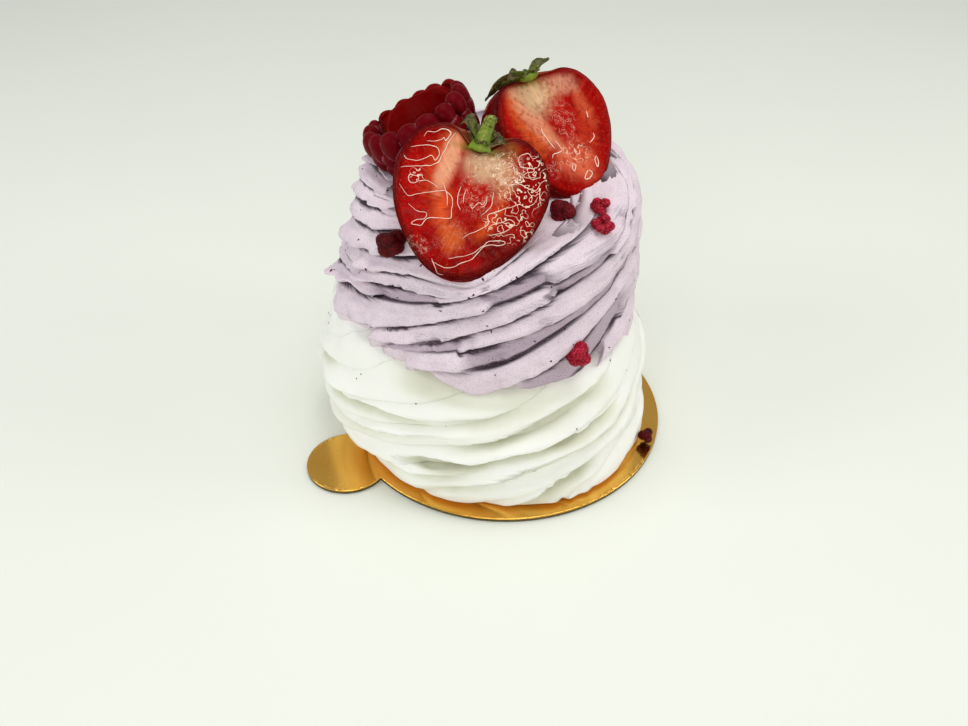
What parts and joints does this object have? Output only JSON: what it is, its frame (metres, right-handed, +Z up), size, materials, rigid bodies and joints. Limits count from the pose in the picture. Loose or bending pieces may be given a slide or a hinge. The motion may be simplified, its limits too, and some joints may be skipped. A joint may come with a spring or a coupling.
{
  "type": "pavlova",
  "caption": "Single-portion pavlova: ridged white meringue base on a tabbed gold card, lilac cream swirl, halved strawberries and a hollow raspberry on top.",
  "frame": {"origin": "centre of the round card's underside, on the surface it stands on", "axes": "+Z up; the strawberries' cut faces and the pavlova's front look towards -Y; +X is to the right seen from the front, and the card's tab points to the front left"},
  "size_m": [0.0884, 0.0835, 0.0876],
  "materials": {
    "gold_card": "bright gold foil on card",
    "meringue": "satin baked meringue",
    "cream": "matt whipped cream",
    "strawberry": "wet cut fruit",
    "raspberry": "satin fruit",
    "leaf": "matt leaf"
  },
  "bodies": {
    "root": {"card": "gold_card", "meringue": "meringue", "cream": "cream", "strawberry_front": "strawberry", "strawberry_rear": "strawberry", "calyx_front": "leaf", "calyx_rear": "leaf", "raspberry": "raspberry", "raspberry_piece_left": "raspberry", "raspberry_piece_right": "raspberry", "raspberry_piece_upper": "raspberry", "raspberry_piece_lower": "raspberry", "raspberry_piece_side": "raspberry", "raspberry_piece_on_card": "raspberry"}
  },
  "joints": []
}
